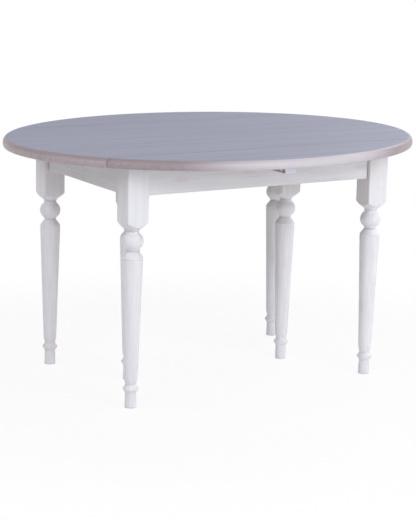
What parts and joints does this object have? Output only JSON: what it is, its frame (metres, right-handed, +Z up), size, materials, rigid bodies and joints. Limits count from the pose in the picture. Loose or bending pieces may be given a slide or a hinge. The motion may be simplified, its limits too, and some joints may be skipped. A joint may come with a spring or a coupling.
{
  "type": "oval extending table",
  "caption": "Oval dining table on turned legs whose top parts along its length on wooden slides and whose hinged drop leaves are held level by sliding bearers",
  "frame": {"origin": "on the floor under the middle of the top", "axes": "+X along the long axis of the oval, +Y away from the pictured side, +Z up"},
  "size_m": [1.321, 1.067, 0.75],
  "materials": {
    "top_paint": "satin paint",
    "frame_paint": "satin paint",
    "bearer_wood": "satin",
    "bare_wood": "planed",
    "hinge_metal": "aged",
    "fixing_steel": "plated",
    "glide": "matt"
  },
  "bodies": {
    "carriage": {"centre_leg_left": "frame_paint", "centre_leg_right": "frame_paint", "centre_beam": "bare_wood", "centre_rail_left": "bare_wood", "centre_rail_right": "bare_wood", "centre_rail_bolts": "fixing_steel", "centre_glides": "glide"},
    "near_half": {"near_top": "top_paint", "near_apron_long": "frame_paint", "near_apron_left": "frame_paint", "near_apron_right": "frame_paint", "near_leg_left": "frame_paint", "near_leg_right": "frame_paint", "near_runner_left": "bare_wood", "near_runner_right": "bare_wood", "near_runner_screws": "fixing_steel", "near_corner_braces": "bare_wood", "near_leg_bolts": "fixing_steel", "near_hinge_plates": "hinge_metal", "near_hinge_pins": "hinge_metal", "near_hinge_screws": "hinge_metal", "near_glides": "glide", "split_dowels": "bare_wood"},
    "far_half": {"far_top": "top_paint", "far_apron_long": "frame_paint", "far_apron_left": "frame_paint", "far_apron_right": "frame_paint", "far_leg_left": "frame_paint", "far_leg_right": "frame_paint", "far_runner_left": "bare_wood", "far_runner_right": "bare_wood", "far_runner_screws": "fixing_steel", "far_corner_braces": "bare_wood", "far_leg_bolts": "fixing_steel", "far_hinge_plates": "hinge_metal", "far_hinge_pins": "hinge_metal", "far_hinge_screws": "hinge_metal", "far_glides": "glide"},
    "near_flap": {"near_leaf": "top_paint", "near_leaf_hinge_plates": "hinge_metal", "near_leaf_hinge_screws": "hinge_metal", "near_bearer_guides": "bearer_wood", "near_guide_screws": "fixing_steel"},
    "far_flap": {"far_leaf": "top_paint", "far_leaf_hinge_plates": "hinge_metal", "far_leaf_hinge_screws": "hinge_metal", "far_bearer_guides": "bearer_wood", "far_guide_screws": "fixing_steel"},
    "near_bearer": {"near_bearer": "bearer_wood", "near_bearer_pull": "bearer_wood"},
    "far_bearer": {"far_bearer": "bearer_wood", "far_bearer_pull": "bearer_wood"}
  },
  "joints": [
    {"name": "near_extension", "type": "slide", "parent": "carriage", "child": "near_half", "axis": [0, -1, 0], "range_m": [0, 0.3]},
    {"name": "near_leaf_hinge", "type": "hinge", "parent": "near_half", "child": "near_flap", "pos_m": [0, -0.317, 0.7177], "axis": [-1, 0, 0], "range_deg": [-90, 0]},
    {"name": "near_bearer_slide", "type": "slide", "parent": "near_flap", "child": "near_bearer", "axis": [0, 1, 0], "range_m": [0, 0.06]},
    {"name": "far_extension", "type": "slide", "parent": "carriage", "child": "far_half", "axis": [0, 1, 0], "range_m": [0, 0.3]},
    {"name": "far_leaf_hinge", "type": "hinge", "parent": "far_half", "child": "far_flap", "pos_m": [0, 0.317, 0.7177], "axis": [1, 0, 0], "range_deg": [-90, 0]},
    {"name": "far_bearer_slide", "type": "slide", "parent": "far_flap", "child": "far_bearer", "axis": [0, -1, 0], "range_m": [0, 0.06]}
  ]
}
